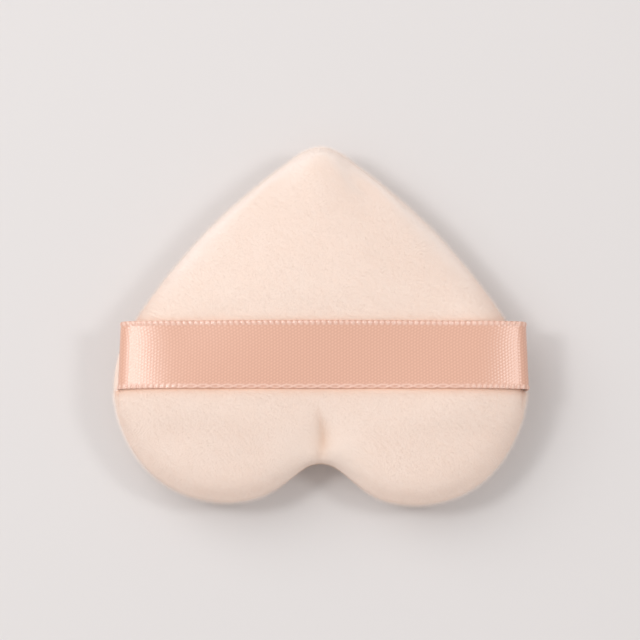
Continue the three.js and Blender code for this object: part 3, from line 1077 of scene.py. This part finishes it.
sponge = pad
sponge.name = "foam_sponge"
sponge.vertex_groups.clear()
points = points_of(sponge)
near_seam = 1 - smooth_step(np.abs(points[:, 2] - SEAM_Z), *FOAM_SEAM_FADES)
inset = FOAM_INSET + (FOAM_SEAM_INSET - FOAM_INSET) * near_seam
move_points(sponge, points - inset[:, None] * normals_of(sponge))
shade_smooth(sponge)
sponge.data.materials.append(foam)
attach(sponge, "puff")
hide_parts("sponge_core")
print("sponge", np.round(np.ptp(points_of(sponge), axis=0) / MM, 1), "mm")

# %% [markdown]
# ## Thread
#
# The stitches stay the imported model's own: they sit in the seam, where little shows of
# them, so finer ones would be wasted. They only get the matt finish of polyester thread.

# %% Thread
THREAD_TONE = linear(243, 211, 194)

thread, tree = new_material("polyester_thread")
finish_material(tree, {"Base Color": THREAD_TONE, "Roughness": 0.6})
for name in ("seam_thread", "closing_thread", "ribbon_tack_left", "ribbon_tack_right"):
    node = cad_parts[name]
    node.data.materials.clear()
    node.data.materials.append(thread)

# %% [markdown]
# ## The ribbon's weave
#
# The ribbon's woven edges are rows of beads, where the weft turns back, and along the lower
# edge a chain of fine loops. They catch the light one by one, so they are real relief on a
# fine grid. They end where the ribbon enters the seam.

# %% The ribbon's weave
EDGE_WIDTH = 0.7 * MM
EDGE_FADES = (0.85 * EDGE_WIDTH, 1.1 * EDGE_WIDTH)
BEAD_PITCH = 0.84 * MM
BEAD_SLANT = 0.15
BEAD_RELIEF = 0.12 * MM
LOOP_LENGTH = 1.75 * MM
LOOP_WIDTH = 0.26 * MM
LOOP_THREAD = 0.12 * MM
LOOPS_FADE = (18 * MM, 24 * MM)  # from the ribbon's middle

bpy.ops.mesh.primitive_grid_add(x_subdivisions=RIBBON_COLUMNS, y_subdivisions=RIBBON_ROWS, size=1)
ribbon = bpy.context.object
ribbon.name = "woven_ribbon"
ribbon.data.name = "woven_ribbon"
plan = points_of(ribbon)
along = plan[:, 0] * RIBBON_LENGTH
across = plan[:, 1] * RIBBON_WIDTH
from_edge = RIBBON_HALF - np.abs(across)


def wave(values, pitch):
    return np.cos(2 * math.pi * values / pitch)


def loop_thread(off_middle):
    return np.exp(-((off_middle / LOOP_THREAD) ** 2))


edge_share = 1 - smooth_step(from_edge, *EDGE_FADES)
beads = 0.5 + 0.5 * wave(along - BEAD_SLANT * from_edge, BEAD_PITCH)
swing = LOOP_WIDTH * wave(along, 2 * LOOP_LENGTH)
in_edge = from_edge - EDGE_WIDTH / 2
loops = np.maximum(loop_thread(in_edge - swing), loop_thread(in_edge + swing))
linked = (across < 0) * (1 - smooth_step(np.abs(along), *LOOPS_FADE))
beads = beads + (loops - beads) * linked
print("about", round(2 * RIBBON_LENGTH / BEAD_PITCH), "beads along both edges")

# %% [markdown]
# ## Laying the ribbon
#
# The flat grid is laid along the rows of the run, raised by its relief, and Solidify gives
# it its thickness. The attribute "bead" keeps the relief for the colour, "edge" keeps where
# the edges are, and "weave_place" how far along and across the ribbon each point lies.

# %% Laying the ribbon
RIBBON_THICKNESS = 0.2 * MM
SEAM_STARTS = (RIBBON_LENGTH / 2 - 4 * MM, RIBBON_LENGTH / 2 - 3 * MM)

column = np.rint((plan[:, 0] + 0.5) * RIBBON_COLUMNS).astype(int)
row = np.rint((plan[:, 1] + 0.5) * RIBBON_ROWS).astype(int)
roundness = np.sin(math.pi * np.clip(from_edge / EDGE_WIDTH, 0, 1))
in_seam = smooth_step(np.abs(along), *SEAM_STARTS)
relief = BEAD_RELIEF * beads * roundness * edge_share * (1 - in_seam)
upward = np.cross(np.gradient(run_grid, axis=1), np.gradient(run_grid, axis=0))
upward /= np.linalg.norm(upward, axis=2, keepdims=True)
move_points(ribbon, run_grid[row, column] + relief[:, None] * upward[row, column])
weave_place = ribbon.data.attributes.new("weave_place", "FLOAT_VECTOR", "POINT")
places = np.column_stack([along, across, np.zeros_like(along)]) / MM
weave_place.data.foreach_set("vector", places.astype(np.float32).ravel())
keep_on(ribbon, "bead", beads)
keep_on(ribbon, "edge", edge_share)
cloth = ribbon.modifiers.new("Cloth", "SOLIDIFY")
cloth.thickness = RIBBON_THICKNESS
cloth.offset = -1
apply_modifier(ribbon, cloth)
shade_smooth(ribbon)
print("ribbon", len(ribbon.data.polygons), "faces")

# %% [markdown]
# ## Satin
#
# Satin is smooth thread, so it shines in soft broad bands where it bends towards a lamp.
# Between its edges it shows small round floats, a little under half a millimetre apart.
# Instead of an image, three rows of waves that cross give such a lattice and stay sharp at
# any size: their sum is high in round spots. It colours the spots paler and the hollows deeper,
# as painted light and shade on the relief, and raises them as a bump. The beads on the edges
# are coloured the same way: paler on their crests and deeper between them, as painted light
# and shade.

# %% Satin
LATTICE = ((1.28, -2.07, 0.2), (0.95, 2.07, 0.13), (2.23, 0.0, 0.17))  # waves per mm, weight
FLOAT_RELIEF = 0.05 * MM
# Salmon tones with painted light on the floats and beads and painted shade between them.
SHADED_HOLLOW_TONE = linear(217, 162, 137)
LIT_FLOAT_TONE = linear(237, 187, 164)
SHADED_BETWEEN_BEADS = linear(221, 169, 147)
LIT_BEAD_TONE = linear(245, 205, 187)

satin, tree = new_material("salmon_satin")
weave = attribute(tree, "weave_place", "Vector")
along_weave = Wire.node(tree, "ShaderNodeSeparateXYZ", inputs={"Vector": weave}, output="X")
across_weave = along_weave.beside("Y")
floats = 0.5
for waves_along, waves_across, weight in LATTICE:
    phase = along_weave * (2 * math.pi * waves_along) + across_weave * (2 * math.pi * waves_across)
    floats = floats + weight * phase.cosine()
lit_and_shaded_floats = mix_colours(tree, floats, SHADED_HOLLOW_TONE, LIT_FLOAT_TONE)
lit_and_shaded_beads = mix_colours(tree, attribute(tree, "bead"), SHADED_BETWEEN_BEADS, LIT_BEAD_TONE)
float_inputs = {"Height": floats, "Strength": 0.4, "Distance": FLOAT_RELIEF}
satin_inputs = {
    "Base Color": mix_colours(tree, attribute(tree, "edge"), lit_and_shaded_floats, lit_and_shaded_beads),
    "Roughness": 0.3,
    "Specular IOR Level": 1.0,
    "Normal": Wire.node(tree, "ShaderNodeBump", inputs=float_inputs),
}
finish_material(tree, satin_inputs)
ribbon.data.materials.append(satin)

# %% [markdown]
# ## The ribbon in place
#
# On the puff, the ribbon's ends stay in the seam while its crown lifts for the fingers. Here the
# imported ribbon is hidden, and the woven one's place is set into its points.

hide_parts("satin_ribbon")
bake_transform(ribbon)

# %% [markdown]
# ## One fibre
#
# The pile is what one sees of velour: a fine fuzz that blurs the outline. Hair curves would
# be the usual way, but an exported model needs real faces. So one fibre is modelled as a
# slim three-sided spike, with few enough faces to repeat a few hundred thousand times.

# %% One fibre
FIBRE_SIDES = 3
FIBRE_LENGTH = 0.62 * MM
FIBRE_RADIUS = 0.008 * MM

bpy.ops.mesh.primitive_cone_add(
    vertices=FIBRE_SIDES,
    radius1=FIBRE_RADIUS,
    radius2=0,
    depth=FIBRE_LENGTH,
    location=(0, 0, FIBRE_LENGTH / 2),
)
fibre = bpy.context.object
fibre.name = "fibre"
bpy.ops.object.transform_apply(location=True)
print("fibre of", len(fibre.data.polygons), "faces")

# %% [markdown]
# ## How the fibres stand
#
# Each fibre leans its own way and has its own length. A slow noise lays patches of them
# over, as brushing does, and all of them lie a little towards the lobes. The attribute
# "stand" on the skin says how long they grow there.

# %% How the fibres stand
RANDOM_LEAN = 0.4
BRUSHED_LEAN = 0.15
BRUSH_PATCH = 5 * MM
BRUSH_DETAIL = 2
NAP = (0, -0.2, 0)
SHORTEST = 0.4  # of a fibre's length
LONGEST = 1.2


def vector_sum(tree, operation, first, second):
    return Wire.node(tree, "ShaderNodeVectorMath", {"operation": operation}, {0: first, 1: second})


def random_vector(tree, seed):
    settings = {"data_type": "FLOAT_VECTOR"}
    inputs = {0: (-1, -1, -1), 1: (1, 1, 1), "Seed": seed}
    return Wire.node(tree, "FunctionNodeRandomValue", settings, inputs)


def fibre_lean(tree, roots, seed):
    """The way that each fibre points: the surface's own, brushed and loosened."""
    place = Wire.node(tree, "GeometryNodeInputPosition")
    inputs = {"Vector": place, "Scale": 1 / BRUSH_PATCH, "Detail": BRUSH_DETAIL}
    patches = Wire.node(tree, "ShaderNodeTexNoise", inputs=inputs, output="Color")
    brushed = vector_sum(tree, "SUBTRACT", patches, (0.5, 0.5, 0.5))
    brushed = vector_sum(tree, "MULTIPLY", brushed, (2 * BRUSHED_LEAN,) * 3)
    loose = vector_sum(tree, "MULTIPLY", random_vector(tree, seed), (RANDOM_LEAN,) * 3)
    lean = vector_sum(tree, "ADD", brushed, loose)
    lean = vector_sum(tree, "ADD", lean, NAP)
    return vector_sum(tree, "ADD", lean, roots.beside("Normal"))


def fibre_size(tree, seed):
    settings = {"data_type": "FLOAT"}
    stand_inputs = {"Name": "stand"}
    uneven_inputs = {2: SHORTEST, 3: LONGEST, "Seed": seed + 1}
    kind = "GeometryNodeInputNamedAttribute"
    stand = Wire.node(tree, kind, settings, stand_inputs, output="Attribute")
    uneven = Wire.node(tree, "FunctionNodeRandomValue", settings, uneven_inputs, output=1)
    return Wire.node(tree, "ShaderNodeCombineXYZ", inputs={"X": 1, "Y": 1, "Z": stand * uneven})


fibre_range = np.round(np.array([SHORTEST, LONGEST]) * FIBRE_LENGTH / MM, 2)
print("fibres from", fibre_range[0], "to", fibre_range[1], "mm long")

# %% [markdown]
# ## Scattering the pile
#
# Geometry Nodes scatters the fibre over a skin: roots are thrown on its faces, each gets an
# instance of the fibre with its lean and its size, and the instances become real faces.


# %% Scattering the pile
def pile_nodes(name, density, seed):
    tree = bpy.data.node_groups.new(name, "GeometryNodeTree")
    for way in ("INPUT", "OUTPUT"):
        tree.interface.new_socket("Geometry", in_out=way, socket_type="NodeSocketGeometry")
    skin = Wire.node(tree, "NodeGroupInput")
    root_inputs = {"Mesh": skin, "Density": density, "Seed": seed}
    roots = Wire.node(tree, "GeometryNodeDistributePointsOnFaces", inputs=root_inputs)
    lean_inputs = {"Vector": fibre_lean(tree, roots, seed)}
    fibre_inputs = {
        "Points": roots,
        "Instance": Wire.node(tree, "GeometryNodeObjectInfo", inputs={"Object": fibre}, output="Geometry"),
        "Rotation": Wire.node(tree, "FunctionNodeAlignRotationToVector", {"axis": "Z"}, lean_inputs),
        "Scale": fibre_size(tree, seed),
    }
    fibres = Wire.node(tree, "GeometryNodeInstanceOnPoints", inputs=fibre_inputs)
    grown = Wire.node(tree, "GeometryNodeRealizeInstances", inputs={"Geometry": fibres})
    Wire.node(tree, "NodeGroupOutput", inputs={"Geometry": grown})
    print(name, round(density * MM**2), "fibres per square millimetre")
    return tree


# %% [markdown]
# ## Strips of pile
#
# One piece shouldn't have too many faces, so each skin is cut across into strips of equal
# area, and each strip carries the same number of fibres. For a bake, a plain map from above
# gives every fibre the colour of the place where it stands.

# %% Strips of pile
FIBRES_PER_PIECE = 48_000
MAP_MARGIN = 0.02


def split_heights(skin, count):
    """The places along Y that cut a skin into strips of equal area, and that area."""
    faces = skin.data.polygons
    middles = np.array([face.center.y for face in faces])
    areas = np.array([face.area for face in faces])
    order = np.argsort(middles)
    summed = np.cumsum(areas[order])
    shares = np.linspace(0, summed[-1], count + 1)
    return np.interp(shares, summed, middles[order]), summed[-1] / count


def skin_strip(skin, name, low, high):
    strip = copy_of(skin, name)
    bpy.ops.object.mode_set(mode="EDIT")
    for height, keep_above in ((low, True), (high, False)):
        bpy.ops.mesh.select_all(action="SELECT")
        bpy.ops.mesh.bisect(
            plane_co=(0, height, 0),
            plane_no=(0, 1, 0),
            clear_inner=keep_above,
            clear_outer=not keep_above,
        )
    bpy.ops.object.mode_set(mode="OBJECT")
    print(name, "grows on", len(strip.data.polygons), "faces")
    return strip


def planar_map(piece):
    layer = piece.data.uv_layers.new(name="OFBake")
    corners = np.empty(len(piece.data.loops), np.int32)
    piece.data.loops.foreach_get("vertex_index", corners)
    places = points_of(piece)[corners, :2]
    spread = (places - places.min(0)) / np.ptp(places, axis=0).max()
    spread = MAP_MARGIN + (1 - 2 * MAP_MARGIN) * spread
    layer.uv.foreach_set("vector", spread.astype(np.float32).ravel())


# %% [markdown]
# ## Growing the pile
#
# Under the ribbon, and where the puff lies on the table, the pile is pressed short, and it
# is half as long in the cleft. Round the edge, where the wall is upright, it is set paler with
# painted light that comes through the fibres. The skins and the single fibre have then done
# their work and are removed.

# %% Growing the pile
PRESSED_LENGTH = 0.2  # of the length
UNDER_EDGE = (-0.6 * MM, 0.4 * MM)
LYING_FADES = (0.4 * MM, 1.6 * MM)  # above the table
CLEFT_LENGTH = 0.5  # of the length
CLEFT_FADES = (4 * MM, 10 * MM)  # away from the cleft's bottom
# Painted light round the upright wall: how far the pile is set paler there.
RIM_LIGHT = 0.7
WALL_TURNS = (0.05, 0.4)  # how far up or down the surface faces
FRONT_STRIPS = 4
FRONT_SEED = 11
BACK_STRIPS = 2
BACK_SEED = 71
SEEDS_APART = 10


def grow_strip(skin, name, low, high, density, seed):
    pile = skin_strip(skin, name, low, high)
    points = points_of(pile)
    normals = normals_of(pile)
    under = ribbon_mask(points, *UNDER_EDGE) * (points[:, 2] > SEAM_Z)
    lying = 1 - smooth_step(points[:, 2], *LYING_FADES)
    wall = 1 - smooth_step(np.abs(normals[:, 2]), *WALL_TURNS)
    from_cleft = np.hypot(points[:, 0], points[:, 1] - CLEFT_Y)
    outside_cleft = smooth_step(from_cleft, *CLEFT_FADES)
    lengths = CLEFT_LENGTH + (1 - CLEFT_LENGTH) * outside_cleft
    lengths += (PRESSED_LENGTH - lengths) * np.maximum(under, lying)
    keep_on(pile, "stand", lengths)
    keep_on(pile, "rim", np.maximum(RIM_LIGHT * wall * outside_cleft, rim_light_at(points, normals)))
    scatter = pile.modifiers.new("Pile", "NODES")
    scatter.node_group = pile_nodes(name, density, seed)
    apply_modifier(pile, scatter)
    pile.data.materials.clear()
    pile.data.materials.append(velour_pile)
    planar_map(pile)
    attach(pile, "puff")
    print(name, len(pile.data.polygons), "faces")


def grow_pile(skin, name, strips, seed):
    places, strip_area = split_heights(skin, strips)
    places[0] -= PILE_HEIGHT
    places[-1] += PILE_HEIGHT
    density = FIBRES_PER_PIECE / strip_area
    for number, (low, high) in enumerate(zip(places[:-1], places[1:])):
        grow_strip(skin, f"{name}_{number + 1}", low, high, density, seed + SEEDS_APART * number)


grow_pile(front_skin, "front_pile", FRONT_STRIPS, FRONT_SEED)
grow_pile(back_skin, "back_pile", BACK_STRIPS, BACK_SEED)
for helper in (front_skin, back_skin, fibre):
    bpy.data.objects.remove(helper)

# %% [markdown]
# ## Measure and finish
#
# The box of the dressed puff is printed beside that of the imported model: the pile and the
# full lobes reach a little further.

# %% Measure and finish
sizes = {
    "cad": [list(map(float, cad_low)), list(map(float, cad_high))],
    "visual": [list(map(float, corner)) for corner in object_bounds()],
}
for model, (low, high) in sizes.items():
    print(model, "box in mm:", np.round(np.array(low) / MM, 1), np.round(np.array(high) / MM, 1))
